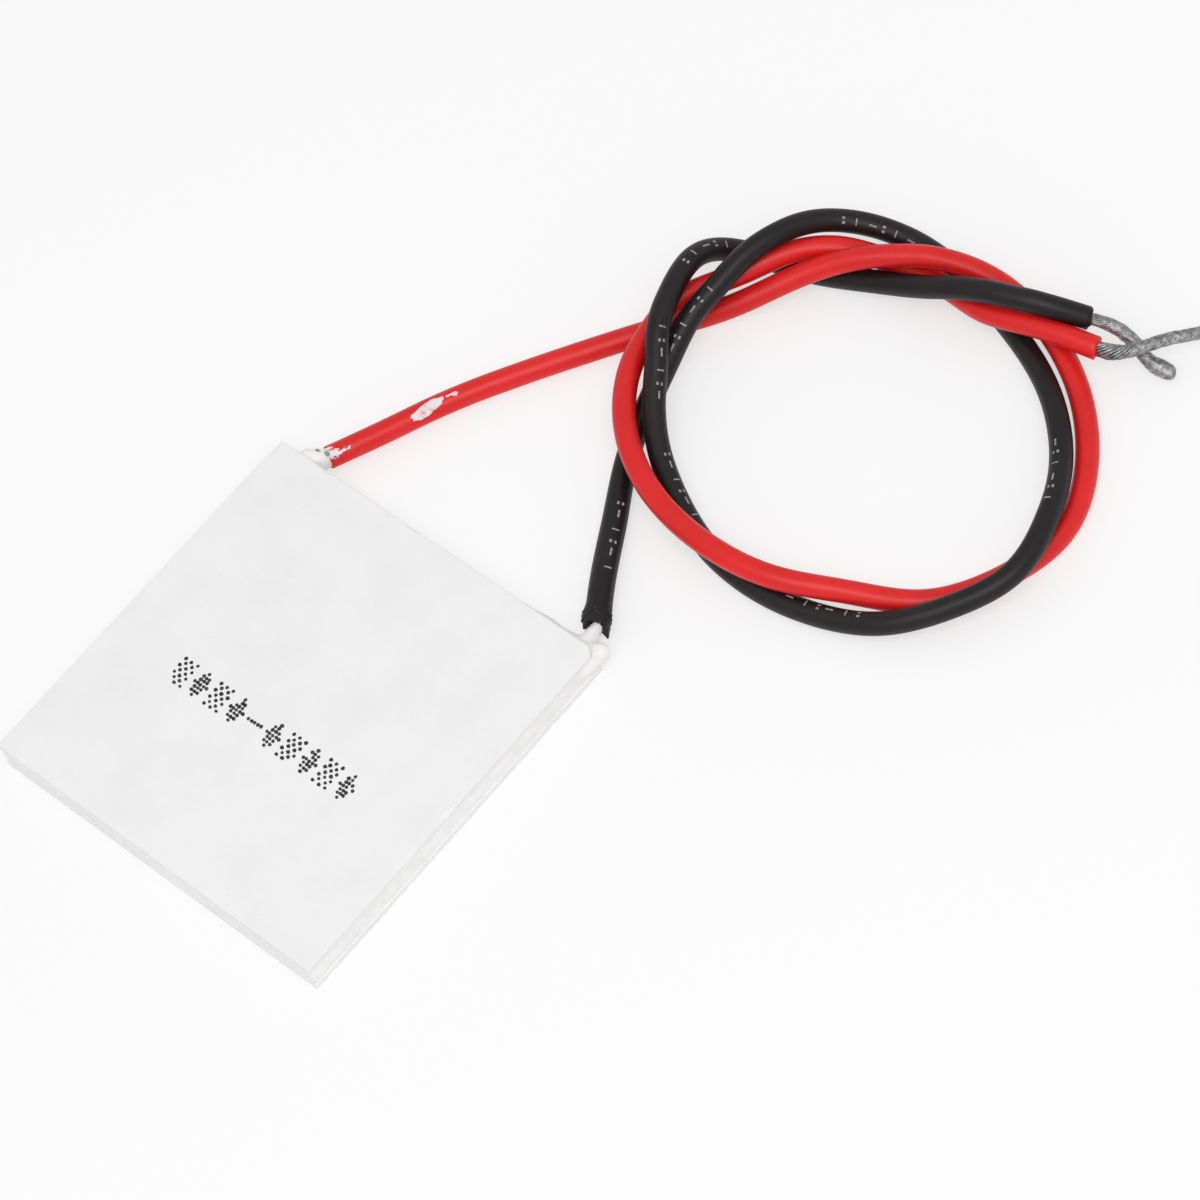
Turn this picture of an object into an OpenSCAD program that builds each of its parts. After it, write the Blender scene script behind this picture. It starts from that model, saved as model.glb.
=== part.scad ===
// Thermoelectric cooling module: two ceramic plates with an array of soldered
// thermocouple legs between them, a silicone edge seal and two stranded leads.
// Millimetres. The origin is the centre of the hot plate's underside, +Z points
// to the cold face and +Y out of the edge that the leads leave by.

/* [Plates] */
// Width of both plates, along the lead edge
plate_width = 40; // [36:1:50]
// Depth of both plates, from the far edge to the lead edge
plate_depth = 40; // [36:1:50]
// Thickness of the hot plate, which is underneath
hot_plate_t = 0.75; // [0.5:0.05:1]
// Thickness of the cold plate, on top
cold_plate_t = 0.75; // [0.5:0.05:1]

/* [Thermocouples] */
// Columns of legs along the lead edge, an even number
leg_columns = 16; // [8:2:16]
// Rows of legs from the far edge to the lead edge, an even number
leg_rows = 16; // [8:2:16]
// Distance from a plate's edge to the centres of the outermost legs
array_margin = 2; // [1.8:0.1:3]
// Side of each leg's square section
leg_size = 1; // [0.6:0.1:1.4]
// Height of each leg without its solder
leg_height = 1.6; // [1.3:0.1:2.5]
// Thickness of the copper tabs
tab_t = 0.25; // [0.15:0.05:0.4]
// How far a tab stands out past its legs on each side
tab_lip = 0.2; // [0.1:0.05:0.3]
// Thickness of each layer of solder between a leg and a tab
solder_t = 0.1; // [0.05:0.05:0.2]
// How far the solder stands out past the leg on each side
solder_lip = 0.05; // [0.02:0.01:0.1]

/* [Edge seal] */
// How far the silicone seal lies back from the plates' edges
seal_recess = 0.25; // [0.1:0.05:0.4]
// Gap between the seal and the nearest tabs
seal_gap = 0.25; // [0.1:0.05:0.3]
// Radius of the lump of silicone round each lead
lump_r = 1.35; // [0.9:0.05:1.5]
// How far the middle of that lump lies outside the lead edge
lump_out = 0.4; // [0.2:0.05:0.8]

/* [Leads] */
// Diameter over the insulation
wire_d = 2.2; // [1.8:0.1:2.2]
// Diameter of the tinned conductor
conductor_d = 1.1; // [0.7:0.05:1.2]
// Height of the solder that holds the conductor off its pad
joint_lift = 0.1; // [0.05:0.05:0.3]
// Radius of the solder mound at its foot
mound_r = 0.65; // [0.5:0.05:0.7]
// Radius of the solder mound at its top
mound_top_r = 0.4; // [0.3:0.05:0.45]
// How far the conductor runs on past the middle of its pad
conductor_tail = 0.5; // [0.3:0.05:0.6]
// Clearance round the conductor in the seal
seal_bore_clearance = 0.06; // [0.06:0.01:0.1]
// Diameter over the strands at a bare end
bare_end_d = 1.3; // [0.9:0.05:1.4]
// Depth of the grooves between the strands at a bare end
strand_groove = 0.2; // [0.05:0.05:0.3]
// Length in which the strands make one full turn
strand_lay = 14; // [10:1:25]

/* [Hidden] */
$fn = 48;

ceramic_white = "#efefec";
seal_white = "#f6f5f1";
copper = "#c9794a";
solder_grey = "#b9bcc0";
p_leg_grey = "#5f6268";
n_leg_grey = "#83868c";
red_pvc = "#d8262c";
black_pvc = "#262427";
tinned = "#a9abae";

// Levels, from the underside up
hot_tab_z = hot_plate_t;
hot_solder_z = hot_tab_z + tab_t;
leg_z = hot_solder_z + solder_t;
cold_solder_z = leg_z + leg_height;
cold_tab_z = cold_solder_z + solder_t;
cold_plate_z = cold_tab_z + tab_t;

// The array of legs
pitch_x = (plate_width - 2 * array_margin) / (leg_columns - 1);
pitch_y = (plate_depth - 2 * array_margin) / (leg_rows - 1);
tab_width = leg_size + 2 * tab_lip;
last_column = leg_columns - 1;
last_row = leg_rows - 1;
tab_rows = leg_rows / 2;

// The seal fills what the tabs leave of the margin
seal_wall = array_margin - tab_width / 2 - seal_gap - seal_recess;

// Each lead's pad, as a height and a place along the lead edge
lead_edge = plate_depth / 2;
joint_z = hot_solder_z + joint_lift + conductor_d / 2;

// Routes of the leads: X, distance out from the lead edge, and height of the
// centre line. They cross over and under each other in one loose loop.
red_route = [
    [-16, 2, 1.7], [-13.5, 7.5, 1.4], [-11, 13, 1.2], [-7.5, 19, 1.1], [-3.5, 25, 1.1],
    [0, 30, 1.1], [3, 34, 1.1], [6, 37.5, 2], [9.5, 42.5, 3.3], [13.5, 46.5, 4.4],
    [18.5, 50, 4.5], [24, 52, 3.6], [29.5, 52, 2.2], [35, 50, 1.3], [40, 46.5, 1.1],
    [44.5, 41, 1.1], [46.5, 34.5, 1.1], [44.5, 27.5, 1.1], [40.5, 22, 1.4], [34.5, 18.5, 2.3],
    [28.5, 15.5, 3.3], [21.5, 14.5, 3.6], [14.5, 15.5, 3.6], [9, 18, 3.7], [5, 21.5, 3.6],
    [2.5, 25.5, 3.5], [1.5, 29.5, 3.5], [1.5, 33.5, 3.5], [3, 37, 3.2], [5, 40, 3.5],
    [7, 43.5, 3.6], [10.5, 47, 3], [16, 49, 2.1], [21.5, 49.5, 2.3], [26.5, 49, 3.2],
    [31.5, 50, 3.9], [38, 51.5, 3.6]
];
black_route = [
    [17.5, 2.5, 1.7], [14, 7.5, 1.3], [11, 12.5, 1.1], [7.5, 18.5, 1.1], [5.5, 24, 1.5],
    [4.5, 28.5, 2.5], [4, 32.5, 3.9], [4.5, 36, 5.1], [5, 40, 5.9], [6, 44, 5.7],
    [7.5, 47.5, 4.5], [11, 50.5, 3], [16.5, 52, 1.8], [22.5, 51.5, 1.1], [28, 50, 1.1],
    [34, 47.5, 1.3], [39, 44, 1.9], [43, 39.5, 2.7], [45.5, 34.5, 3.5], [46.5, 28.5, 3.5],
    [44, 23, 2.9], [40, 18.5, 2.1], [35, 16, 1.3], [28, 14.5, 1.1], [21, 15, 1.1],
    [15.5, 17, 1.5], [10.5, 20, 2.3], [7, 23.5, 3.4], [5, 26.5, 4.5], [3, 29.5, 5.7],
    [1.5, 33.5, 6], [0.5, 37.5, 5], [1, 40.5, 3], [3.5, 42.5, 1.5], [8.5, 44, 1.1],
    [14.5, 46, 2], [20, 47.5, 3.8], [24.5, 49, 5.4], [30.5, 51, 6], [35.5, 53.5, 4]
];
// The bare ends go on from where the insulation stops
red_end_route = [[38, 51.5, 3.6], [39.5, 52, 3.6], [41, 53.5, 3.5], [42.5, 56, 3.2], [44, 58, 2.8], [45, 59.5, 2.6]];
black_end_route = [[35.5, 53.5, 4], [37.5, 54.5, 3], [40, 54.5, 2.1], [42, 54, 1.5], [44, 54.5, 0.9]];
wire_sides = 8;
strand_lobes = 7;
// Rings between two points of a bare end
end_steps = 3;

function two_digits(number) = str(number < 10 ? "0" : "", number);
function hot_row_name(row) = str("hot_tabs_row_", row);
function cold_row_name(row) = str("cold_tabs_row_", row);
function p_row_name(row) = str("p_legs_row_", two_digits(row));
function n_row_name(row) = str("n_legs_row_", two_digits(row));

// ---- Places in the array; columns and rows count from 0 ----

function leg_x(column) = -plate_width / 2 + array_margin + column * pitch_x;
function leg_y(row) = -plate_depth / 2 + array_margin + row * pitch_y;
// The two places at the lead edge's corners hold wires and no leg
function is_wire_place(column, row) = row == last_row && (column == 0 || column == last_column);
function is_p_leg(column, row) = (column + row) % 2 == 0;

// ---- Sweeping a section along a path ----

function unit(v) = v / norm(v);
function heading(path, i) = unit(path[min(i + 1, len(path) - 1)] - path[max(i - 1, 0)]);
function on_ring(centre, along, radius, angle) =
    let (side = unit(cross(along, [0, 0, 1])), up = cross(side, along))
    centre + radius * (cos(angle) * side + sin(angle) * up);
// Faces that join equal rings of points end to end and cap both ends
function tube_faces(rings, sides) = concat(
    [[for (k = [sides - 1:-1:0]) k]],
    [for (i = [0:rings - 2], k = [0:sides - 1]) [i * sides + k, i * sides + (k + 1) % sides, (i + 1) * sides + k]],
    [for (i = [0:rings - 2], k = [0:sides - 1])
        [i * sides + (k + 1) % sides, (i + 1) * sides + (k + 1) % sides, (i + 1) * sides + k]],
    [[for (k = [0:sides - 1]) (rings - 1) * sides + k]]
);

// A round tube; its ends are square to the given directions
module round_tube(path, diameter, start_along, end_along) {
    last = len(path) - 1;
    directions = [for (i = [0:last]) i == 0 ? start_along : i == last ? end_along : heading(path, i)];
    points = [for (i = [0:last], k = [0:wire_sides - 1])
        on_ring(path[i], directions[i], diameter / 2, (k + 0.5) * 360 / wire_sides)];
    polyhedron(points, tube_faces(last + 1, wire_sides));
}

// A point of a path at a whole or part number, with rounded bends
function along_path(path, t) =
    let (
        last = len(path) - 1,
        i = min(floor(t), last - 1),
        u = t - i,
        a = path[max(i - 1, 0)],
        b = path[i],
        c = path[i + 1],
        d = path[min(i + 2, last)]
    )
    b + u * ((c - a) / 2 + u * (a - 2.5 * b + 2 * c - d / 2 + u * (1.5 * (b - c) + (d - a) / 2)));
function length_to(path, i) = i == 0 ? 0 : length_to(path, i - 1) + norm(path[i] - path[i - 1]);

// Strands twisted together: a lobed section that turns as it goes
module twisted_strands(path, start_along) {
    steps = (len(path) - 1) * end_steps;
    centres = [for (s = [0:steps]) along_path(path, s / end_steps)];
    sides = 2 * strand_lobes;
    points = [for (s = [0:steps], k = [0:sides - 1])
        on_ring(
            centres[s],
            s == 0 ? start_along : heading(centres, s),
            bare_end_d / 2 - (k % 2) * strand_groove,
            k * 360 / sides + length_to(centres, s) * 360 / strand_lay
        )];
    polyhedron(points, tube_faces(steps + 1, sides));
}

// ---- Plates and seal ----

module plate(z, thickness) {
    translate([0, 0, z])
        linear_extrude(thickness)
            square([plate_width, plate_depth], center = true);
}

module hot_plate() {
    color(ceramic_white) plate(0, hot_plate_t);
}

module cold_plate() {
    color(ceramic_white) plate(cold_plate_z, cold_plate_t);
}

// Where a lead's conductor starts, over its pad
function joint_start(column) = [leg_x(column), leg_y(last_row), joint_z];
// Where its insulation starts, outside the lead edge
function lead_start(route) = route[0] + [0, lead_edge, 0];

// A straight round bar between two points
module bar(from, to, radius) {
    run = to - from;
    translate(from)
        rotate([0, acos(run.z / norm(run)), atan2(run.y, run.x)])
            cylinder(h = norm(run), r = radius, $fn = wire_sides);
}

module lead_bore(column, route) {
    bar(joint_start(column), lead_start(route) + unit(lead_start(route) - joint_start(column)) * lump_r,
        conductor_d / 2 + seal_bore_clearance);
}

module seal_lump(column, route) {
    start = joint_start(column);
    run = lead_start(route) - start;
    translate(start + run * (lead_edge + lump_out - start.y) / run.y)
        sphere(r = lump_r);
}

module edge_seal() {
    color(seal_white)
        difference() {
            union() {
                translate([0, 0, hot_tab_z])
                    linear_extrude(cold_plate_z - hot_tab_z)
                        difference() {
                            square([plate_width - 2 * seal_recess, plate_depth - 2 * seal_recess], center = true);
                            square(
                                [plate_width - 2 * (seal_recess + seal_wall), plate_depth - 2 * (seal_recess + seal_wall)],
                                center = true
                            );
                        }
                difference() {
                    union() {
                        seal_lump(0, red_route);
                        seal_lump(last_column, black_route);
                    }
                    plate(0, hot_plate_t);
                    plate(cold_plate_z, cold_plate_t);
                    translate([0, -seal_recess - seal_wall / 2, hot_tab_z])
                        linear_extrude(cold_plate_z - hot_tab_z)
                            square([plate_width, plate_depth], center = true);
                }
            }
            lead_bore(0, red_route);
            lead_bore(last_column, black_route);
        }
}

// ---- Copper tabs, solder and legs ----

// A tab that joins the legs at two neighbouring places
module tab(from, to, z) {
    low = [min(from.x, to.x), min(from.y, to.y)];
    high = [max(from.x, to.x), max(from.y, to.y)];
    translate([low.x - tab_width / 2, low.y - tab_width / 2, z])
        cube([high.x - low.x + tab_width, high.y - low.y + tab_width, tab_t]);
}

// Tabs on the hot plate, each joining two legs of a column. In the last row the
// first and the last tab are the pads that the leads are soldered to.
module hot_tabs_row(row) {
    color(copper)
        for (column = [0:last_column])
            tab([leg_x(column), leg_y(2 * row - 2)], [leg_x(column), leg_y(2 * row - 1)], hot_tab_z);
}

// Tabs under the cold plate. Row 0 and the last row carry the current from one
// column of legs to the next; the others join two legs of a column.
module cold_tabs_row(row) {
    color(copper)
        if (row == 0)
            for (column = [0:2:last_column - 1])
                tab([leg_x(column), leg_y(0)], [leg_x(column + 1), leg_y(0)], cold_tab_z);
        else if (row == tab_rows)
            for (column = [1:2:last_column - 2])
                tab([leg_x(column), leg_y(last_row)], [leg_x(column + 1), leg_y(last_row)], cold_tab_z);
        else
            for (column = [0:last_column])
                tab([leg_x(column), leg_y(2 * row - 1)], [leg_x(column), leg_y(2 * row)], cold_tab_z);
}

// A square block centred on one place of the array
module block(column, row, z, side, height) {
    translate([leg_x(column) - side / 2, leg_y(row) - side / 2, z])
        cube([side, side, height]);
}

module solder_layer(z) {
    color(solder_grey)
        for (column = [0:last_column], row = [0:last_row])
            if (!is_wire_place(column, row))
                block(column, row, z, leg_size + 2 * solder_lip, solder_t);
}

module hot_solder() {
    solder_layer(hot_solder_z);
}

module cold_solder() {
    solder_layer(cold_solder_z);
}

// One row's bismuth telluride legs of one kind
module legs_row(row, p_type) {
    for (column = [0:last_column])
        if (!is_wire_place(column, row) && is_p_leg(column, row) == p_type)
            block(column, row, leg_z, leg_size, leg_height);
}

module p_legs_row(row) {
    color(p_leg_grey) legs_row(row - 1, true);
}

module n_legs_row(row) {
    color(n_leg_grey) legs_row(row - 1, false);
}

// ---- Leads ----

// The conductor's soldered end: a mound on the pad and the tinned stub that
// runs out through the seal to the face of the insulation
module wire_joint(column, route) {
    start = joint_start(column);
    along = unit(lead_start(route) - start);
    color(tinned) {
        translate([start.x, start.y, hot_solder_z])
            cylinder(h = joint_z - hot_solder_z, r1 = mound_r, r2 = mound_top_r);
        round_tube([start - conductor_tail * along, lead_start(route)], conductor_d, along, heading(route, 0));
    }
}

module red_joint() {
    wire_joint(0, red_route);
}

module black_joint() {
    wire_joint(last_column, black_route);
}

module lead(route) {
    translate([0, lead_edge, 0])
        round_tube(route, wire_d, heading(route, 0), heading(route, len(route) - 1));
}

module red_lead() {
    color(red_pvc) lead(red_route);
}

module black_lead() {
    color(black_pvc) lead(black_route);
}

module bare_end(route, end_route) {
    color(tinned)
        translate([0, lead_edge, 0])
            twisted_strands(end_route, heading(route, len(route) - 1));
}

module red_bare_end() {
    bare_end(red_route, red_end_route);
}

module black_bare_end() {
    bare_end(black_route, black_end_route);
}

hot_plate();
cold_plate();
edge_seal();
hot_solder();
cold_solder();
for (row = [1:tab_rows]) hot_tabs_row(row);
for (row = [0:tab_rows]) cold_tabs_row(row);
for (row = [1:leg_rows]) p_legs_row(row);
for (row = [1:leg_rows]) n_legs_row(row);
red_joint();
black_joint();
red_lead();
black_lead();
red_bare_end();
black_bare_end();
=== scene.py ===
"""Dresses the thermoelectric cooling module: sintered ceramic plates, cured silicone
round their edges, and a red and a black lead with twisted, tinned ends."""
import math
import random

import bpy
import numpy as np
from mathutils import Matrix, Vector, noise


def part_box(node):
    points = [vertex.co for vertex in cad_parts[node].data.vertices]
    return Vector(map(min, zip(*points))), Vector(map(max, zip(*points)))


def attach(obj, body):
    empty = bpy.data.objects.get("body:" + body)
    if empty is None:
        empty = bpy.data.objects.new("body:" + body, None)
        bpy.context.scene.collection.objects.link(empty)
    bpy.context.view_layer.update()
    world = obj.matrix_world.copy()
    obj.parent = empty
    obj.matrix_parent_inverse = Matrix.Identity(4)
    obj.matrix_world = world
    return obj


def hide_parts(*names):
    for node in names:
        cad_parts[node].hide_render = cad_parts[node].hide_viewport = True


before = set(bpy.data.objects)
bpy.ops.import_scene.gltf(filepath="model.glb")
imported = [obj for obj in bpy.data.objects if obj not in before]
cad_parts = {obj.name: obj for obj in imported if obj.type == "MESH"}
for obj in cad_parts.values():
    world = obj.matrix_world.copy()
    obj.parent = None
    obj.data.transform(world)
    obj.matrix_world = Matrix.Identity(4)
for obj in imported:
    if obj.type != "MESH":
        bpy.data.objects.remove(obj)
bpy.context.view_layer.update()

MM = 0.001

plate_low, plate_high = (np.array(corner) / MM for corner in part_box("cold_plate"))
hot_low, hot_high = (np.array(corner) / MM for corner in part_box("hot_plate"))
half_width = plate_high[0]
lead_edge = plate_high[1]

# ---- Sizes, in millimetres ----

WIRE_D = 2.2
WIRE_WALL = 0.5
WIRE_BORE_DEPTH = 1.2
STRAND_D = 0.28
# The length in which the strands make one full turn
STRAND_LAY = 6.0
# The black lead's solder pad: its middle and its top. The red lead's is at -PAD_X
PAD_X = 18.0
PAD_Y = 18.0
PAD_Z = 1.0
# The corner beside the black lead that is broken off the cold plate and its seal
CORNER_CLIP = 0.7
# How many bites are chipped out of each edge line of a plate
PLATE_CHIPS = 16

# The leads' routes, as part.scad has them: X, distance out from the lead edge, and
# height of the centre line.
RED_ROUTE = [
    [-16, 2, 1.7], [-13.5, 7.5, 1.4], [-11, 13, 1.2], [-7.5, 19, 1.1], [-3.5, 25, 1.1],
    [0, 30, 1.1], [3, 34, 1.1], [6, 37.5, 2], [9.5, 42.5, 3.3], [13.5, 46.5, 4.4],
    [18.5, 50, 4.5], [24, 52, 3.6], [29.5, 52, 2.2], [35, 50, 1.3], [40, 46.5, 1.1],
    [44.5, 41, 1.1], [46.5, 34.5, 1.1], [44.5, 27.5, 1.1], [40.5, 22, 1.4], [34.5, 18.5, 2.3],
    [28.5, 15.5, 3.3], [21.5, 14.5, 3.6], [14.5, 15.5, 3.6], [9, 18, 3.7], [5, 21.5, 3.6],
    [2.5, 25.5, 3.5], [1.5, 29.5, 3.5], [1.5, 33.5, 3.5], [3, 37, 3.2], [5, 40, 3.5],
    [7, 43.5, 3.6], [10.5, 47, 3], [16, 49, 2.1], [21.5, 49.5, 2.3], [26.5, 49, 3.2],
    [31.5, 50, 3.9], [38, 51.5, 3.6],
]
BLACK_ROUTE = [
    [17.5, 2.5, 1.7], [14, 7.5, 1.3], [11, 12.5, 1.1], [7.5, 18.5, 1.1], [5.5, 24, 1.5],
    [4.5, 28.5, 2.5], [4, 32.5, 3.9], [4.5, 36, 5.1], [5, 40, 5.9], [6, 44, 5.7],
    [7.5, 47.5, 4.5], [11, 50.5, 3], [16.5, 52, 1.8], [22.5, 51.5, 1.1], [28, 50, 1.1],
    [34, 47.5, 1.3], [39, 44, 1.9], [43, 39.5, 2.7], [45.5, 34.5, 3.5], [46.5, 28.5, 3.5],
    [44, 23, 2.9], [40, 18.5, 2.1], [35, 16, 1.3], [28, 14.5, 1.1], [21, 15, 1.1],
    [15.5, 17, 1.5], [10.5, 20, 2.3], [7, 23.5, 3.4], [5, 26.5, 4.5], [3, 29.5, 5.7],
    [1.5, 33.5, 6], [0.5, 37.5, 5], [1, 40.5, 3], [3.5, 42.5, 1.5], [8.5, 44, 1.1],
    [14.5, 46, 2], [20, 47.5, 3.8], [24.5, 49, 5.4], [30.5, 51, 6], [35.5, 53.5, 4],
]
RED_END_ROUTE = [
    [38, 51.5, 3.6], [39.5, 52, 3.6], [41, 53.5, 3.5], [42.5, 56, 3.2], [44, 58, 2.8],
    [45, 59.5, 2.6],
]
BLACK_END_ROUTE = [
    [35.5, 53.5, 4], [37.5, 54.5, 3], [40, 54.5, 2.1], [42, 54, 1.5], [44, 54.5, 0.9],
]

# Where sealant bulges out of the seal: X, Y, reach and width
SEALANT_LUMPS = [
    (19.6, 20, 0.7, 1.0), (17.8, 20, 0.4, 1.4), (-16.6, 20, 0.45, 1.6), (-12.4, 20, 0.3, 1.0),
]
# The long smear of dried sealant on the red lead, and the small ones round it and at the root:
# distance along the lead, turn round it in degrees, half length, half width in radians,
# thickness, seed, raggedness and slant
SMEARS = [
    (10.2, 66, 1.75, 0.6, 0.05, 3, 0.25, 0.5), (12.7, 84, 0.45, 0.12, 0.035, 5, 0.6, 0),
    (13.2, 80, 0.3, 0.2, 0.035, 7, 0.6, 0), (0.35, 62, 0.75, 0.42, 0.035, 9, 0.55, 0),
    (1.5, 60, 0.55, 0.14, 0.035, 13, 0.6, 0), (0.1, 100, 0.45, 0.16, 0.035, 12, 0.6, 0),
]
# Solder splashes at its root: distance along, turn in degrees, how far out, and size
SPLASHES = [(-0.9, 118, 0.0, 0.2), (-0.25, 74, 0.05, 0.2), (0.3, 46, 0.05, 0.17), (1.6, 66, 0.03, 0.17)]
# Where the groups of ticks start along the black lead, and the distance between its ticks
MARK_GROUPS = [6, 30, 52, 62, 88, 118, 139, 152, 166]
MARK_PITCH = 1.4


# ---- Camera, lights and floor ----

CAMERA_TARGET = Vector((14.9, 25.5, 0.0)) * MM
CAMERA_DISTANCE = 510 * MM
CAMERA_AZIMUTH = math.radians(58.6)
CAMERA_ELEVATION = math.radians(58.1)
CAMERA_ROLL = math.radians(-20.7)
CAMERA_LENS = 165

FLOOR_HALF_SIDE = 3.0
# Just under the module, so that no two faces lie in one plane
FLOOR_HEIGHT = -0.02 * MM
# The share of the floor's colour that is even white, and how bright that white is
FLOOR_GLOW = 0.6
FLOOR_WHITE = 0.985
WORLD_STRENGTH = 0.68
SOFTBOX_POWER = 1.3
SOFTBOX_WIDTH, SOFTBOX_DEPTH = 0.4, 0.3
SOFTBOX_PLACE = Vector((0.22, -0.12, 0.5))


def make_camera():
    """A long lens from above the black lead's side, rolled so that the plates stand on one corner."""
    level = math.cos(CAMERA_ELEVATION)
    back = Vector((
        math.sin(CAMERA_AZIMUTH) * level, -math.cos(CAMERA_AZIMUTH) * level, math.sin(CAMERA_ELEVATION)
    ))
    right = Vector((math.cos(CAMERA_AZIMUTH), math.sin(CAMERA_AZIMUTH), 0))
    up = back.cross(right)
    axes = Matrix((right, up, back)).transposed() @ Matrix.Rotation(CAMERA_ROLL, 3, "Z")
    data = bpy.data.cameras.new("camera")
    data.lens = CAMERA_LENS
    data.clip_start = 0.01
    camera = bpy.data.objects.new("camera", data)
    camera.matrix_world = Matrix.Translation(CAMERA_TARGET + back * CAMERA_DISTANCE) @ axes.to_4x4()
    bpy.context.scene.collection.objects.link(camera)
    bpy.context.scene.camera = camera


def linear(code):
    """An sRGB hex colour as the linear values that Blender takes."""
    parts = [int(code[i:i + 2], 16) / 255 for i in (1, 3, 5)]
    return (*[c / 12.92 if c <= 0.04045 else ((c + 0.055) / 1.055) ** 2.4 for c in parts], 1.0)


def add(tree, kind, inputs=None, **settings):
    """Adds a node, gives it its settings, and sets or links its inputs."""
    made = tree.nodes.new("ShaderNode" + kind)
    for name, value in settings.items():
        setattr(made, name, value)
    for socket, value in (inputs or {}).items():
        if isinstance(value, bpy.types.NodeSocket):
            tree.links.new(value, made.inputs[socket])
        else:
            made.inputs[socket].default_value = value
    return made


def new_material(name, **values):
    """A named material with a Principled shader, whose sockets are given as words."""
    made = bpy.data.materials.new(name)
    made.use_nodes = True
    shader = made.node_tree.nodes["Principled BSDF"]
    for socket, value in values.items():
        shader.inputs[socket.replace("_", " ")].default_value = value
    return made, made.node_tree, shader


def white_paper():
    """White paper: to the camera and in reflections it is white, with the shadows softened."""
    made = bpy.data.materials.new("white_paper")
    made.use_nodes = True
    tree = made.node_tree
    tree.nodes.clear()
    paper = add(tree, "BsdfDiffuse", {"Color": linear("#f6f6f6")})
    glow = add(tree, "Emission", {"Color": linear("#ffffff"), "Strength": FLOOR_WHITE})
    rays = add(tree, "LightPath")
    ray_kinds = {0: rays.outputs["Is Camera Ray"], 1: rays.outputs["Is Glossy Ray"]}
    seen = add(tree, "Math", ray_kinds, operation="MAXIMUM")
    share = add(tree, "Math", {0: seen.outputs[0], 1: FLOOR_GLOW}, operation="MULTIPLY")
    mixed = add(tree, "MixShader", {0: share.outputs[0], 1: paper.outputs[0], 2: glow.outputs[0]})
    add(tree, "OutputMaterial", {"Surface": mixed.outputs[0]})
    return made


def make_floor():
    """A square of white paper under the module."""
    mesh = bpy.data.meshes.new("floor")
    corners = [
        (x * FLOOR_HALF_SIDE, y * FLOOR_HALF_SIDE, FLOOR_HEIGHT)
        for x, y in ((-1, -1), (1, -1), (1, 1), (-1, 1))
    ]
    mesh.from_pydata(corners, [], [(0, 1, 2, 3)])
    mesh.materials.append(white_paper())
    floor = bpy.data.objects.new("floor", mesh)
    bpy.context.scene.collection.objects.link(floor)


def make_lights():
    """A white room and one large softbox overhead, on the camera's side."""
    world = bpy.data.worlds.new("white_room")
    bpy.context.scene.world = world
    world.use_nodes = True
    tree = world.node_tree
    tree.nodes.clear()
    rays = add(tree, "LightPath")
    room = add(tree, "Background", {"Color": linear("#ffffff"), "Strength": WORLD_STRENGTH})
    seen = add(tree, "Background", {"Color": linear("#ffffff"), "Strength": 1.0})
    shares = {0: rays.outputs["Is Camera Ray"], 1: room.outputs[0], 2: seen.outputs[0]}
    mixed = add(tree, "MixShader", shares)
    add(tree, "OutputWorld", {"Surface": mixed.outputs[0]})
    data = bpy.data.lights.new("softbox", "AREA")
    data.shape = "RECTANGLE"
    data.size = SOFTBOX_WIDTH
    data.size_y = SOFTBOX_DEPTH
    data.energy = SOFTBOX_POWER
    softbox = bpy.data.objects.new("softbox", data)
    softbox.location = SOFTBOX_PLACE
    softbox.rotation_euler = (CAMERA_TARGET - SOFTBOX_PLACE).to_track_quat("-Z", "Y").to_euler()
    bpy.context.scene.collection.objects.link(softbox)


# ---- Materials ----

def object_noise(tree, size_mm, detail=2.0, roughness=0.5):
    """Noise whose features are about size_mm across, fixed to the object."""
    where = add(tree, "TexCoord").outputs["Object"]
    scale = 1 / (size_mm * MM)
    made = add(tree, "TexNoise", {
        "Vector": where, "Scale": scale, "Detail": detail, "Roughness": roughness,
    })
    return made.outputs[0]


def ramp(tree, value, *stops):
    """A colour ramp through (position, hex colour) stops."""
    made = add(tree, "ValToRGB", {0: value})
    elements = made.color_ramp.elements
    while len(elements) < len(stops):
        elements.new(0.5)
    for element, (position, code) in zip(elements, stops):
        element.position = position
        element.color = linear(code)
    return made.outputs[0]


def bump(tree, shader, height, depth_mm):
    """Raises the surface by up to depth_mm where the height is 1."""
    made = add(tree, "Bump", {"Height": height, "Distance": depth_mm * MM, "Strength": 1.0})
    tree.links.new(made.outputs[0], shader.inputs["Normal"])


def spread(tree, value, low, high):
    """Maps a 0 to 1 value to low to high."""
    return add(tree, "MapRange", {0: value, 3: low, 4: high}).outputs[0]


def sintered_alumina():
    """Fired alumina: chalk white and matt, with a faint cloudiness and a 0.1 mm grain."""
    made, tree, shader = new_material("sintered_alumina", Roughness=0.6, IOR=1.6)
    clouds = object_noise(tree, 5, 4, 0.6)
    cloudy = ramp(tree, clouds, (0.35, "#ebebec"), (0.6, "#efefef"))
    # Pores are 0.05 mm in the real ceramic, and are drawn 0.2 mm wide to show at all
    pores = ramp(tree, object_noise(tree, 0.2, 1), (0.22, "#f1f1f1"), (0.3, "#ffffff"))
    both = add(tree, "Mix", {0: 1.0, 6: cloudy, 7: pores}, data_type="RGBA", blend_type="MULTIPLY")
    tree.links.new(both.outputs[2], shader.inputs["Base Color"])
    bump(tree, shader, object_noise(tree, 0.1, 3), 0.006)
    return made


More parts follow.
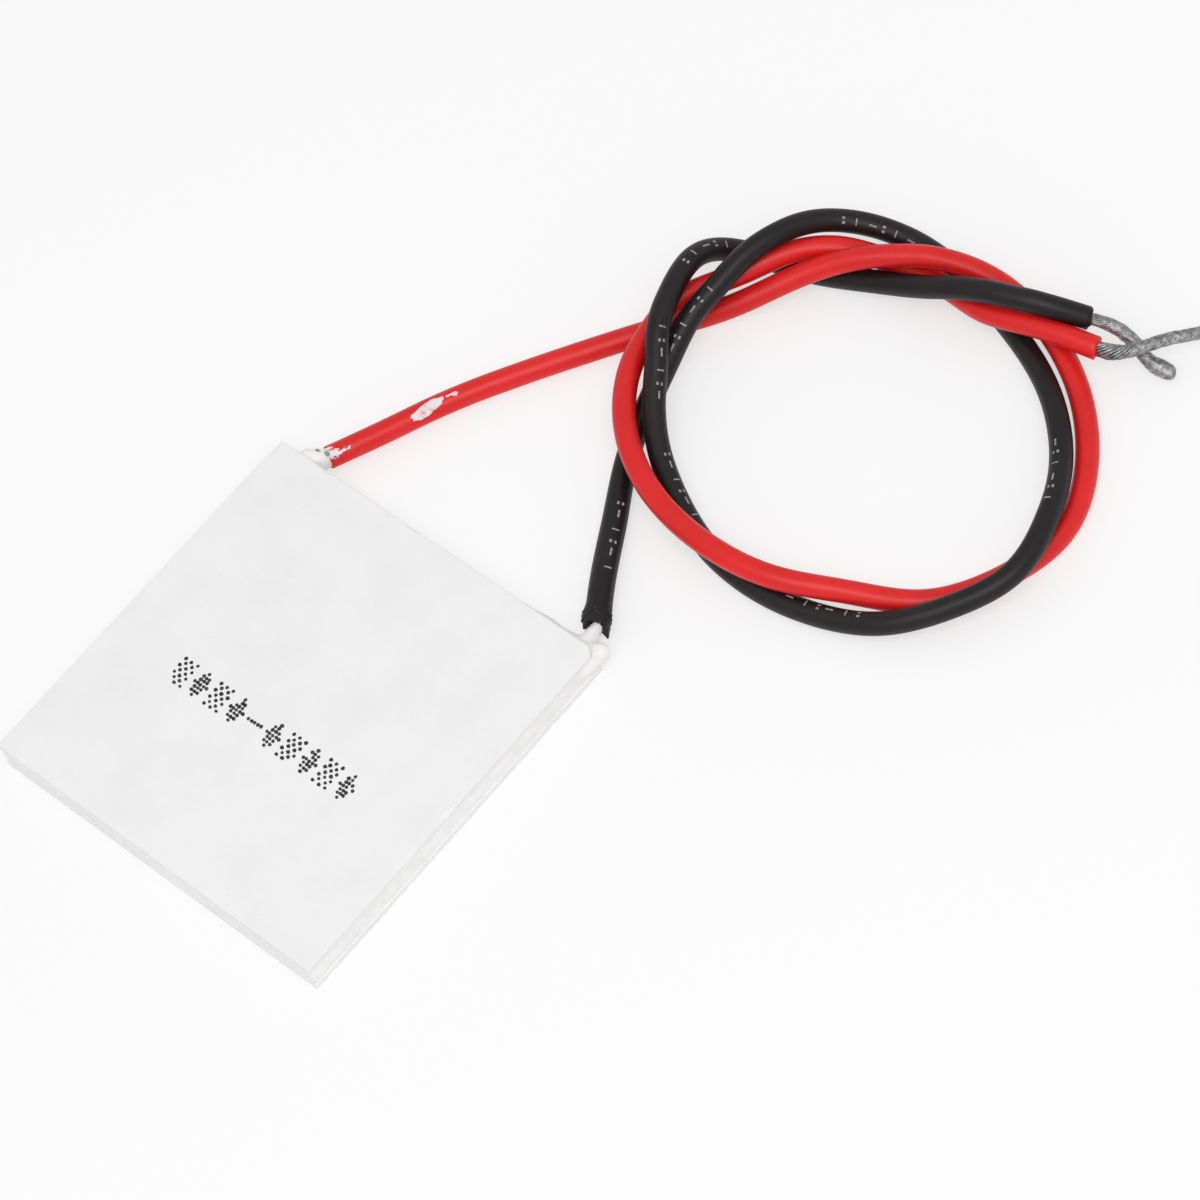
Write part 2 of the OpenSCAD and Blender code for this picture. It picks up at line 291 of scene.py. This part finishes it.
def cured_silicone():
    """Room-cured silicone sealant: milky white, smooth and a little greasy."""
    made, tree, shader = new_material("cured_white_silicone", Roughness=0.38, IOR=1.41)
    milky = ramp(tree, object_noise(tree, 1.5, 3), (0.3, "#ececea"), (0.7, "#f7f6f5"))
    tree.links.new(milky, shader.inputs["Base Color"])
    bump(tree, shader, object_noise(tree, 0.5, 3), 0.05)
    return made


def pvc(name, dark, light, roughness, sheen):
    """Extruded soft PVC: even colour, a low gloss, and faint die lines along the wire.
    The tubes' UV maps hold the distance along in mm and the turn round the wire."""
    made, tree, shader = new_material(name, IOR=1.53, Specular_IOR_Level=sheen)
    shades = ramp(tree, object_noise(tree, 6, 3), (0.3, dark), (0.7, light))
    tree.links.new(shades, shader.inputs["Base Color"])
    # 18 die lines round the wire, each holding its tone for about 7 mm
    along = add(tree, "Mapping", {"Vector": add(tree, "UVMap").outputs[0], "Scale": (0.15, 18, 1)})
    lines = add(tree, "TexNoise", {"Vector": along.outputs[0], "Scale": 1.0, "Detail": 2.0}).outputs[0]
    tree.links.new(spread(tree, lines, roughness - 0.06, roughness + 0.06), shader.inputs["Roughness"])
    relief = add(tree, "Math", {0: lines, 1: object_noise(tree, 0.3, 2)}, operation="ADD")
    bump(tree, shader, relief.outputs[0], 0.012)
    return made


def tinned_copper():
    """Copper strands under hot-dipped tin: bright grey metal, dulled in the grooves."""
    made, tree, shader = new_material("tinned_copper", Metallic=1.0)
    dull = ramp(tree, object_noise(tree, 0.4, 4), (0.3, "#747374"), (0.65, "#b4b3b3"))
    tree.links.new(dull, shader.inputs["Base Color"])
    tree.links.new(spread(tree, object_noise(tree, 0.3, 2), 0.35, 0.6), shader.inputs["Roughness"])
    bump(tree, shader, object_noise(tree, 0.3, 3), 0.035)
    return made


def silicone_film():
    """A thin smear of sealant on red plastic: white in the thick places and pink in the thin ones."""
    made, tree, shader = new_material("thin_silicone_film", Roughness=0.55, IOR=1.41)
    tint = ramp(tree, object_noise(tree, 0.7, 3), (0.3, "#dd8f92"), (0.4, "#e3cdd1"), (0.55, "#e8e2e6"))
    tree.links.new(tint, shader.inputs["Base Color"])
    bump(tree, shader, object_noise(tree, 0.4, 2), 0.02)
    return made


def printing_ink(name, code, thin_code):
    """Jet-printed ink: dense and matt, thinner where a drop ran dry."""
    made, tree, shader = new_material(name, Roughness=0.7)
    tone = ramp(tree, object_noise(tree, 0.3, 2), (0.3, thin_code), (0.6, code))
    tree.links.new(tone, shader.inputs["Base Color"])
    return made


def hidden_metal(name, dark, light, roughness, grain_mm):
    """The metals inside: etched copper is pink and matt, solder grey and softly bright, and sawn
    bismuth telluride dark with a fine grain."""
    made, tree, shader = new_material(name, Metallic=1.0)
    tone = ramp(tree, object_noise(tree, grain_mm, 3), (0.3, dark), (0.7, light))
    tree.links.new(tone, shader.inputs["Base Color"])
    sheen = spread(tree, object_noise(tree, grain_mm, 2), roughness - 0.1, roughness + 0.1)
    tree.links.new(sheen, shader.inputs["Roughness"])
    bump(tree, shader, object_noise(tree, grain_mm / 2, 2), 0.01)
    return made


ALUMINA = sintered_alumina()
SILICONE = cured_silicone()
RED_PVC = pvc("red_extruded_pvc", "#d41616", "#e2201e", 0.4, 0.35)
BLACK_PVC = pvc("black_extruded_pvc", "#151214", "#1d191b", 0.45, 0.3)
TIN = tinned_copper()
FILM = silicone_film()
BLACK_INK = printing_ink("black_jet_ink", "#1b1a1c", "#4a494b")
GREY_INK = printing_ink("grey_jet_ink", "#a5a3a4", "#6d6b6c")
COPPER = hidden_metal("etched_copper", "#a8623f", "#c9815c", 0.4, 0.3)
SOLDER = hidden_metal("tin_lead_solder", "#9a9b9d", "#bdbec0", 0.35, 0.2)
P_TELLURIDE = hidden_metal("sawn_bismuth_telluride_p", "#4c4f54", "#6a6d73", 0.5, 0.15)
N_TELLURIDE = hidden_metal("sawn_bismuth_telluride_n", "#6a6d72", "#8a8d92", 0.5, 0.15)


# ---- Meshes ----

def finish_piece(piece, material, replaced=()):
    """Every piece rides the one body and shows its material, and the CAD parts it replaces are hidden.
    """
    piece.data.materials.append(material)
    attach(piece, "root")
    if replaced:
        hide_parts(*replaced)
    return piece


def mesh_object(name, verts, faces, uvs, smooth_angle):
    """A mesh from millimetre points, smooth but for edges sharper than smooth_angle."""
    mesh = bpy.data.meshes.new(name)
    mesh.from_pydata([tuple(float(c) * MM for c in v) for v in verts], [], faces)
    layer = mesh.uv_layers.new(name="Along")
    layer.data.foreach_set("uv", np.array(uvs, dtype=float).ravel())
    mesh.validate()
    mesh.shade_smooth()
    mesh.set_sharp_from_angle(angle=math.radians(smooth_angle))
    piece = bpy.data.objects.new(name, mesh)
    bpy.context.scene.collection.objects.link(piece)
    return piece


def turns_round(count):
    """Equal steps round one full turn, in radians."""
    return [2 * math.pi * k / count for k in range(count)]


class Shell:
    """Collects the points and faces of closed forms that make one piece."""

    def __init__(self):
        self.verts = []
        self.faces = []
        self.uvs = []

    def rings(self, rings, lengths=None):
        """Closed rings of equal point counts, joined in order and capped at both ends."""
        first = len(self.verts)
        count = len(rings[0])
        for ring in rings:
            self.verts.extend(ring)
        if lengths is None:
            lengths = range(len(rings))
        for i in range(len(rings) - 1):
            a = first + i * count
            near, far = lengths[i], lengths[i + 1]
            for k in range(count):
                n = (k + 1) % count
                self.faces.append((a + k, a + n, a + count + n, a + count + k))
                low, high = k / count, (k + 1) / count
                self.uvs += [(near, low), (near, high), (far, high), (far, low)]
        last = first + (len(rings) - 1) * count
        self.faces.append(tuple(range(first + count - 1, first - 1, -1)))
        self.faces.append(tuple(range(last, last + count)))
        self.uvs += [(lengths[0], k / count) for k in range(count)]
        self.uvs += [(lengths[-1], k / count) for k in range(count)]

    def loop_of_rings(self, rings):
        """Closed rings joined in order, with the last joined to the first."""
        first = len(self.verts)
        count = len(rings[0])
        for ring in rings:
            self.verts.extend(ring)
        for i in range(len(rings)):
            a = first + i * count
            b = first + (i + 1) % len(rings) * count
            for k in range(count):
                n = (k + 1) % count
                self.faces.append((a + k, a + n, b + n, b + k))
                self.uvs += [(0, 0)] * 4

    def piece(self, name, smooth_angle=40):
        """The piece, smooth but for edges sharper than smooth_angle in degrees."""
        return mesh_object(name, self.verts, self.faces, self.uvs, smooth_angle)


def ripple(x, y, z, size, seed):
    """Smooth noise from -1 to 1 with features about size mm across."""
    return noise.noise(Vector((x / size + 17.3 * seed, y / size - 5.1 * seed, z / size)))


# ---- Lines that wires follow ----

def through(points, spacing):
    """Points at equal spacing on the natural cubic spline through the given ones."""
    points = np.array(points, float)
    spans = np.linalg.norm(np.diff(points, axis=0), axis=1)
    knots = np.concatenate([[0], np.cumsum(spans ** 0.5)])
    gaps = np.diff(knots)
    count = len(points)
    system = np.eye(count)
    slopes = np.zeros((count, 3))
    for i in range(1, count - 1):
        system[i, i - 1:i + 2] = [gaps[i - 1], 2 * (gaps[i - 1] + gaps[i]), gaps[i]]
        before = (points[i] - points[i - 1]) / gaps[i - 1]
        after = (points[i + 1] - points[i]) / gaps[i]
        slopes[i] = 6 * (after - before)
    bends = np.linalg.solve(system, slopes)
    dense = []
    for i in range(count - 1):
        for u in np.linspace(0, gaps[i], 24, endpoint=False):
            v = gaps[i] - u
            dense.append(
                (bends[i] * v ** 3 + bends[i + 1] * u ** 3) / (6 * gaps[i])
                + (points[i] / gaps[i] - bends[i] * gaps[i] / 6) * v
                + (points[i + 1] / gaps[i] - bends[i + 1] * gaps[i] / 6) * u
            )
    dense.append(points[-1])
    dense = np.array(dense)
    run = np.concatenate([[0], np.cumsum(np.linalg.norm(np.diff(dense, axis=0), axis=1))])
    steps = np.linspace(0, run[-1], max(2, round(run[-1] / spacing) + 1))
    return np.stack([np.interp(steps, run, dense[:, axis]) for axis in range(3)], axis=1)


class Line:
    """A centre line in mm, with a sideways and an upward direction at any distance along it.
    Where a floor is given, the line stays between it and its highest route point.
    lumps(distance, angle) is how far the lead on it stands out past its even size."""

    def __init__(self, points, spacing=0.35, floor=None, lumps=None):
        self.points = through(points, spacing)
        self.lumps = lumps
        if floor is not None:
            highest = max(point[2] for point in points)
            self.points[:, 2] = np.clip(self.points[:, 2], floor, highest)
        steps = np.linalg.norm(np.diff(self.points, axis=0), axis=1)
        self.run = np.concatenate([[0], np.cumsum(steps)])
        self.length = self.run[-1]
        along = np.gradient(self.points, self.run, axis=0)
        self.along = along / np.linalg.norm(along, axis=1)[:, None]
        side = np.cross(self.along, [0, 0, 1])
        self.side = side / np.linalg.norm(side, axis=1)[:, None]
        self.up = np.cross(self.side, self.along)

    def at(self, distance, field):
        """The line's points, along, side or up at a distance along it."""
        values = getattr(self, field)
        return np.array([np.interp(distance, self.run, values[:, axis]) for axis in range(3)])

    def on(self, distance, angle, radius):
        """A point at an angle round the line: 0 is to its right and a quarter turn is on top."""
        beyond = distance - min(max(distance, 0), self.length)
        sideways = math.cos(angle) * self.at(distance, "side")
        outward = sideways + math.sin(angle) * self.at(distance, "up")
        return self.at(distance, "points") + beyond * self.at(distance, "along") + radius * outward


def skin(line, s, angle):
    """How far a lead's surface lies from its centre line, in mm."""
    even = 1.03 + 0.01 * ripple(s / 4, math.cos(angle), math.sin(angle), 1.0, 2)
    return WIRE_D / 2 * even + (line.lumps(s, angle) if line.lumps else 0)


def from_edge(route):
    """Route points with their distances out from the lead edge turned into Y."""
    return [[x, lead_edge + out, z] for x, out, z in route]


# ---- Leads ----

def horn(angle, middle, width):
    """A smooth tooth at one angle round the wire, in degrees: 1 in its middle and 0 away from it."""
    away = (math.degrees(angle) - middle + 180) % 360 - 180
    return math.exp(-(away / width) ** 2)


def torn_cut(angle):
    """The red lead's root: nearly square, with a torn notch on top. Negative is towards the plates."""
    return 0.45 * horn(angle, 85, 22) + 0.2 * ripple(math.cos(angle), math.sin(angle), 0, 0.3, 2) - 0.25


def melted_cut(angle):
    """The black lead's root: scooped by the iron, with a long tooth on the right and a short one
    on the left."""
    long_tooth = 1.35 * max(0, 1 - abs(math.degrees(angle + math.pi) % 360 - 180) / 46)
    short_tooth = 0.5 * horn(angle, 160, 16)
    return 0.1 - long_tooth - short_tooth + 0.12 * ripple(math.cos(angle), math.sin(angle), 0, 0.3, 5)


def melted_lumps(s, angle):
    """How far the black lead stands out past its even size, in mm: melted plastic at its root, and
    a swelling of its first 14 mm that leaves its underside where it was."""
    band = math.exp(-((s - 1.3) / 0.9) ** 2)
    wrinkles = 0.3 * abs(ripple(s, 1.1 * math.cos(angle), 1.1 * math.sin(angle), 0.42, 6))
    swell = 0.11 / (1 + math.exp((s - 14) / 1.5))
    above = min(1, max(0, 1.1 + math.sin(angle)))
    return band * (wrinkles + 0.22 * horn(angle, 165, 30)) + swell * above


def snipped_cut(angle):
    """The free ends: snipped off a little slanted and unevenly."""
    return 0.12 * math.cos(angle - 0.6) + 0.16 * ripple(math.cos(angle), math.sin(angle), 0, 0.45, 4)


def insulation(name, line, cut):
    """The PVC tube of one lead, hollow for a little way in from both ends."""
    radius = WIRE_D / 2
    bore = radius - WIRE_WALL
    arris = 0.05
    rim = radius - 0.06
    end = line.length
    # The rings stand close together at the root, where the cut and the lumps are
    root_end, root_step, step = 3, 0.12, 0.45
    outer = list(np.arange(0.1, root_end, root_step))
    outer += list(np.arange(root_end, end - 1, step)) + [end - 0.5]
    profile = [(WIRE_BORE_DEPTH, bore), (0.3, bore), (0, rim), (arris, radius)]
    profile += [(s, radius) for s in outer]
    profile += [(end - arris, radius), (end, rim), (end, bore), (end - WIRE_BORE_DEPTH, bore)]
    rings = []
    for s, r in profile:
        near, far = math.exp(-s / 0.9), math.exp((s - end) / 0.5)
        ring = []
        for turn in turns_round(32):
            out = skin(line, s, turn) + r - radius if r > bore else r
            ring.append(line.on(s + near * cut(turn) + far * snipped_cut(turn), turn, out))
        rings.append(ring)
    shell = Shell()
    shell.rings(rings, [s for s, _ in profile])
    return shell.piece(name, 50)


def layered_strands():
    """Where the strands of a concentric bundle lie: one, six and twelve, as radius and angle."""
    pressed = 0.97
    places = [(0, 0)]
    for layer, count in ((1, 6), (2, 12)):
        places += [(layer * STRAND_D * pressed, turn) for turn in turns_round(count)]
    return places


def tin_fill(line, start, swell, seed):
    """Rings of the tin that soaked into a bundle from start on, rough where it froze."""
    # In strand diameters
    bundle_radius = 2.34
    rings = []
    for s in np.arange(start, line.length - 0.15, 0.12):
        # It runs in over 0.8 mm, and out over 0.5 mm at the tip
        fill = min(1, (s - start) / 0.8, (line.length - s) / 0.5)
        ring = []
        for turn in turns_round(24):
            coarse = ripple(s, math.cos(turn), math.sin(turn), 0.55, seed)
            lump = coarse + 0.6 * ripple(s, turn, 0, 0.25, seed)
            radius = bundle_radius * STRAND_D * swell(s) * (0.8 + 0.2 * fill) * (1 + 0.14 * lump * fill)
            ring.append(line.on(s, turn, radius))
        rings.append(ring)
    return rings


def strands(name, line, seed, swell, soaked=None):
    """A twisted bundle; swell(distance) widens or narrows it.
    From the distance soaked on, tin fills the grooves unevenly."""
    rng = random.Random(seed)
    shell = Shell()
    if soaked is not None:
        shell.rings(tin_fill(line, soaked, swell, seed))
    uneven = 0.25
    step = 0.3
    for rho, phi in layered_strands():
        end = line.length - rng.uniform(0, uneven)
        wander = rng.uniform(0, 100)
        centres = []
        for s in np.arange(0, end, step):
            turn = phi + 2 * math.pi * s / STRAND_LAY
            loose = 0.06 * noise.noise(Vector((s / 1.2, wander, 0)))
            out = rho * swell(s) + loose
            centre = line.at(s, "points") + out * math.cos(turn) * line.at(s, "side")
            centres.append(centre + out * math.sin(turn) * line.at(s, "up"))
        centres = np.array(centres)
        along = np.gradient(centres, axis=0)
        along /= np.linalg.norm(along, axis=1)[:, None]
        side = np.cross(along, [0, 0, 1])
        side /= np.linalg.norm(side, axis=1)[:, None]
        up = np.cross(side, along)
        radius = STRAND_D / 2 * rng.uniform(0.92, 1.08)
        shell.rings([
            [c + radius * (math.cos(t) * a + math.sin(t) * b) for t in turns_round(7)]
            for c, a, b in zip(centres, side, up)
        ])
    return shell.piece(name, 60)


def blob(shell, centre, radii, seed, rough=0.15, size=0.5, rows=10, columns=16):
    """A closed lump with an uneven skin."""
    centre = np.array(centre, float)
    rings = []
    for i in range(rows + 1):
        # The end rings stop short of the poles, so that no face shrinks to nothing
        tilt = math.pi * (0.03 + 0.94 * i / rows) - math.pi / 2
        level = math.cos(tilt)
        ring = []
        for turn in turns_round(columns):
            way = np.array([level * math.cos(turn), level * math.sin(turn), math.sin(tilt)])
            point = way * radii
            ring.append(centre + point * (1 + rough * ripple(*(centre + point), size, seed)))
        rings.append(ring)
    shell.rings(rings)


def surface_patch(shell, line, middle, turn, half_length, half_turn, lift, seed, ragged, lean):
    """A thin island on a wire's skin, highest in its middle and sunk a little at its rim; lean
    slants it."""
    # Share of the way out to the rim, and height over the skin, from underneath round to the top
    bands = [
        (0.05, -0.05), (1.0, -0.05), (1.0, -0.01), (0.93, 0.6 * lift), (0.75, lift), (0.35, lift),
        (0.05, lift),
    ]
    rings = []
    for share, height in bands:
        ring = []
        for way in turns_round(40):
            rim = 1 + ragged * (
                ripple(math.cos(way), math.sin(way), seed, 0.6, seed)
                + 0.6 * ripple(math.cos(way), math.sin(way), seed, 0.2, seed)
            )
            s = middle + half_length * share * rim * math.cos(way)
            a = turn + half_turn * share * rim * math.sin(way + lean)
            ring.append(line.on(s, a, skin(line, s, a) + height))
        rings.append(ring)
    shell.rings(rings)


def surface_bar(shell, line, start, end, turn_low, turn_high):
    """A thin printed bar on a wire's skin."""
    lift, sink = 0.012, 0.03
    across = np.linspace(turn_low, turn_high, 4)
    rings = []
    for s in (start, end):
        top = [line.on(s, a, skin(line, s, a) + lift) for a in across]
        under = [line.on(s, a, skin(line, s, a) - sink) for a in across[::-1]]
        rings.append(under + top)
    shell.rings(rings)


def wire_marks(line):
    """Groups of small bars and ticks printed along the black wire."""
    shell = Shell()
    printed_side = math.radians(62)
    twist = math.radians(14)
    for g, first in enumerate(MARK_GROUPS):
        lean = printed_side + twist * math.sin(1.7 * g)
        for k in range(6):
            # In turn a stroke across, a dash along, and a pair of ticks
            s = first + MARK_PITCH * k
            if (g + k) % 3 == 0:
                surface_bar(shell, line, s, s + 0.15, lean - 0.3, lean + 0.3)
            elif (g + k) % 3 == 1:
                surface_bar(shell, line, s, s + 0.8, lean - 0.08, lean + 0.08)
            else:
                surface_bar(shell, line, s, s + 0.3, lean + 0.1, lean + 0.3)
                surface_bar(shell, line, s, s + 0.3, lean - 0.3, lean - 0.1)
    return shell.piece("black_lead_marks")


def red_residue(line):
    """Dried sealant on the red lead."""
    shell = Shell()
    for s, turn, half_length, half_turn, lift, seed, ragged, lean in SMEARS:
        surface_patch(
            shell, line, s, math.radians(turn), half_length, half_turn, lift, seed, ragged, lean)
    return shell.piece("red_lead_residue", 60)


def red_splashes(line):
    """Small flat splashes of solder at the red lead's root."""
    shell = Shell()
    for s, turn, out, size in SPLASHES:
        place = line.on(s, math.radians(turn), WIRE_D / 2 + out)
        radii = (1.5 * size, size, 0.7 * size)
        blob(shell, place, radii, seed=21, rough=0.4, size=0.25, rows=8, columns=12)
    return shell.piece("red_lead_solder_splashes", 60)


# ---- Plates, seal and mark ----

def plate_outline(clip, spacing=0.35):
    """Points round the plates' edge, with the corner by the black lead clipped; and the outward
    directions."""
    w, d = half_width, lead_edge
    lead_corner = [(w, d - clip), (w - clip, d)] if clip else [(w, d)]
    corners = [(-w, -d), (w, -d), *lead_corner, (-w, d)]
    points = []
    for (x0, y0), (x1, y1) in zip(corners, corners[1:] + corners[:1]):
        count = max(2, round(math.hypot(x1 - x0, y1 - y0) / spacing))
        for k in range(count):
            points.append(np.array([x0 + (x1 - x0) * k / count, y0 + (y1 - y0) * k / count]))
    outward = []
    for k in range(len(points)):
        run = points[(k + 1) % len(points)] - points[k - 1]
        outward.append(np.array([run[1], -run[0]]) / np.linalg.norm(run))
    return points, outward


def chipping(rng, count, points):
    """How deep each outline point is chipped: shallow bites left by snapping the scribed sheet."""
    depth = [0.02 + 0.02 * abs(ripple(*p, 0, 0.9, count)) for p in points]
    for _ in range(count):
        middle = rng.choice(points)
        width = rng.uniform(0.3, 1.1)
        bite = rng.uniform(0.04, 0.22)
        for k, point in enumerate(points):
            away = np.linalg.norm(point - middle) / width
            if away < 1:
                depth[k] += bite * (1 - away ** 2)
    return depth


def ceramic_plate(name, low, high, seed, clip):
    """A flat ceramic sheet with snapped edges."""
    rng = random.Random(seed)
    points, outward = plate_outline(clip)
    under = chipping(rng, PLATE_CHIPS, points)
    over = chipping(rng, PLATE_CHIPS, points)
    arris = 0.05

    def ring(depths, inset, level):
        return [
            (*(p - way * (arris * inset + d * (0.2 + 0.8 * inset))), level(d))
            for p, way, d in zip(points, outward, depths)
        ]

    shell = Shell()
    shell.rings([
        ring(under, 1, lambda d: low),
        ring(under, 0, lambda d: low + arris + 0.6 * d),
        ring(over, 0, lambda d: high - arris - 0.6 * d),
        ring(over, 1, lambda d: high),
    ])
    return shell.piece(name, 35)


def silicone_seal():
    """The sealant between the plates: pressed nearly flush, and squeezed out at the lead corners."""
    points, outward = plate_outline(CORNER_CLIP, 0.3)
    bottom, top = hot_high[2], plate_low[2]
    depth_in = 1.0
    levels = np.linspace(0, 1, 9)
    rings = []
    for level in levels:
        belly = math.sin(math.pi * level) ** 0.7
        ring = []
        for p, way in zip(points, outward):
            # How far the face lies back from the plates' edge; where it is negative it stands out
            pressed_out = 0.12 * belly * (0.5 + 0.5 * ripple(*p, 0, 3.0, 4))
            back = 0.16 - pressed_out + 0.04 * ripple(*p, 3 * level, 0.7, 5)
            # The lead edge has a bead, which thins over its last 1.5 mm towards the corners
            if way[1] > 0.6:
                bead = 0.42 + 0.02 * p[0] + 0.25 * ripple(*p, 0, 2.5, 7)
                back -= belly * bead * min(1, (20.3 - abs(p[0])) / 1.5)
            for x, y, out, width in SEALANT_LUMPS:
                away = math.hypot(p[0] - x, p[1] - y) / width
                back -= out * belly * math.exp(-away ** 2) * (1 + 0.25 * ripple(*p, 2 * level, 0.6, 6))
            if belly == 0:
                back = max(back, 0.02)
            ring.append((*(p - way * back), bottom + (top - bottom) * level))
        rings.append(ring)
    for level in levels[::-1]:
        height = bottom + (top - bottom) * level
        rings.append([(*(p - way * depth_in), height) for p, way in zip(points, outward)])
    shell = Shell()
    shell.loop_of_rings(rings)
    # A drop of sealant on the clipped corner
    blob(
        shell, (19.55, 20.75, 1.9), (0.95, 0.8, 1.0), seed=14, rough=0.25, size=0.7,
        rows=14, columns=20)
    return shell.piece("silicone_edge_seal", 70)


def silicone_collar(name, line, radii, seed):
    """Sealant drawn out round a lead's bare stub, to where its insulation starts. Its radii are
    evenly spaced along it."""
    start = 1.6
    into_insulation = 0.25
    rings = []
    for share in np.linspace(0, 1, 14):
        s = start + share * (line.length + into_insulation - start)
        radius = np.interp(share, np.linspace(0, 1, len(radii)), radii)
        rings.append([
            line.on(s, t, radius * (1 + 0.16 * ripple(s, math.cos(t), math.sin(t), 0.8, seed)))
            for t in turns_round(24)
        ])
    shell = Shell()
    shell.rings(rings)
    return shell.piece(name, 70)


def printed_mark():
    """A row of dot patterns jet-printed across the plate: diamonds and checks in turn, and a dash."""
    def diamond(column, row):
        return abs(column - 2) * 1.4 + abs(row - 3) < 3.5

    def check(column, row):
        return (column + row) % 2 == 0

    def dash(_, row):
        return row == 3

    order = [diamond, check, diamond, check, diamond, dash, diamond, check, diamond, check]
    columns, rows = 5, 7
    missed, strayed = 0.05, 0.04
    sink, lift = 0.01, 0.012
    pitch, dot_x, dot_y = 2.33, 0.38, 0.42
    first_x, first_y = 11.1, -5.35
    top = plate_high[2]
    rng = random.Random(11)
    shell = Shell()
    for cell, pattern in enumerate(order):
        for column in range(columns):
            for row in range(rows):
                if not pattern(column, row) or rng.random() < missed:
                    continue
                x = first_x - cell * pitch - column * dot_x + rng.uniform(-strayed, strayed)
                y = first_y + row * dot_y + rng.uniform(-strayed, strayed)
                size = rng.uniform(0.16, 0.2)
                long = rng.uniform(1.0, 1.2)
                ring = [
                    (x + size * long * math.cos(t) * (1 + 0.12 * math.sin(3 * t + x)),
                     y + size * math.sin(t) * (1 + 0.12 * math.cos(2 * t + y)))
                    for t in turns_round(12)
                ]
                shell.rings([[(*p, top - sink) for p in ring], [(*p, top + lift) for p in ring]])
    return shell.piece("printed_dot_mark")


# ---- The piece list ----

def build_plates():
    """The two plates, the seal between them, and the mark on the upper one."""
    finish_piece(
        ceramic_plate("cold_ceramic_plate", plate_low[2], plate_high[2], 3, CORNER_CLIP),
        ALUMINA, ["cold_plate"])
    finish_piece(
        ceramic_plate("hot_ceramic_plate", hot_low[2], hot_high[2], 8, 0),
        ALUMINA, ["hot_plate"])
    finish_piece(silicone_seal(), SILICONE, ["edge_seal"])
    finish_piece(printed_mark(), BLACK_INK)


def stub_swell(_):
    """The strands in the seal are pulled a little tight."""
    return 0.85


def build_lead(colour, route, end_route, *, pad_x, material, cut, lumps, seed, swell, soaked, collar):
    """One lead: its insulation, its soldered stub with the collar round it, and its bare end."""
    line = Line(from_edge(route), floor=WIRE_D / 2, lumps=lumps)
    tube = insulation(f"{colour}_insulation", line, cut)
    finish_piece(tube, material, [f"{colour}_lead"])

    stub_z = PAD_Z + 0.6
    stub_points = [
        [pad_x, PAD_Y - 0.5, stub_z], [pad_x, PAD_Y + 1, stub_z], line.points[0], line.on(0.8, 0, 0),
    ]
    stub = strands(f"{colour}_stub_strands", Line(stub_points, 0.2), seed + 20, stub_swell)
    finish_piece(stub, TIN, [f"{colour}_joint"])
    mound = Shell()
    blob(mound, (pad_x, PAD_Y, PAD_Z + 0.32), (0.62, 0.62, 0.36), seed + 30)
    finish_piece(mound.piece(f"{colour}_solder_mound"), SOLDER)
    collar_line = Line(stub_points[:3], 0.2)
    finish_piece(
        silicone_collar(f"{colour}_silicone_collar", collar_line, collar, seed + 40),
        SILICONE)

    inside = line.on(line.length - 0.9, 0, 0)
    end_line = Line([inside] + from_edge(end_route), 0.2)
    bare = strands(f"{colour}_end_strands", end_line, seed + 50, swell, soaked)
    finish_piece(bare, TIN, [f"{colour}_bare_end"])
    return line, tube, bare, end_line


def red_swell(s):
    """The red lead's strands fan out where the insulation was stripped, then pull tight."""
    return 1.0 + 0.25 * math.exp(-((s - 2.0) / 1.2) ** 2) - 0.12 * min(1, s / 6)


def black_swell(s):
    """The black lead's strands leave in a thin neck and fatten towards the dipped tip."""
    return 0.7 + 0.3 * min(1, s / 3.5) + 0.26 * math.exp(-((s - 9.2) / 0.9) ** 2)


def build_leads():
    """Both leads, with the dirt on the red one and the dipped tip and ticks of the black one."""
    line, tube, bare, _ = build_lead(
        "red", RED_ROUTE, RED_END_ROUTE, pad_x=-PAD_X, material=RED_PVC, cut=torn_cut, lumps=None,
        seed=2, swell=red_swell, soaked=3.6, collar=(1.2, 1.35, 1.15, 0.8))
    residue = finish_piece(red_residue(line), FILM)
    splashes = finish_piece(red_splashes(line), TIN)

    line, tube, bare, end_line = build_lead(
        "black", BLACK_ROUTE, BLACK_END_ROUTE, pad_x=PAD_X, material=BLACK_PVC, cut=melted_cut,
        lumps=melted_lumps, seed=5, swell=black_swell, soaked=1.4, collar=(1.0, 1.1, 0.8, 0.6))
    tip = Shell()
    middle = end_line.at(end_line.length - 0.7, "points")
    blob(tip, middle, (1.35, 0.84, 0.72), seed=9, rough=0.2, size=1.1, rows=20, columns=28)
    dipped = finish_piece(tip.piece("black_dipped_tip", 60), TIN)
    marks = finish_piece(wire_marks(line), GREY_INK)


def dress_inner_nodes():
    """The sealed-in tabs, solder and legs keep their CAD solids and take their metals."""
    metals = {
        "hot_tabs": COPPER, "cold_tabs": COPPER, "hot_solder": SOLDER, "cold_solder": SOLDER,
        "p_legs": P_TELLURIDE, "n_legs": N_TELLURIDE,
    }
    for name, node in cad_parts.items():
        for start, metal in metals.items():
            if name.startswith(start):
                node.data.materials.clear()
                node.data.materials.append(metal)


make_camera()
make_floor()
make_lights()
build_leads()
build_plates()
dress_inner_nodes()

bpy.context.scene.view_settings.view_transform = "Standard"
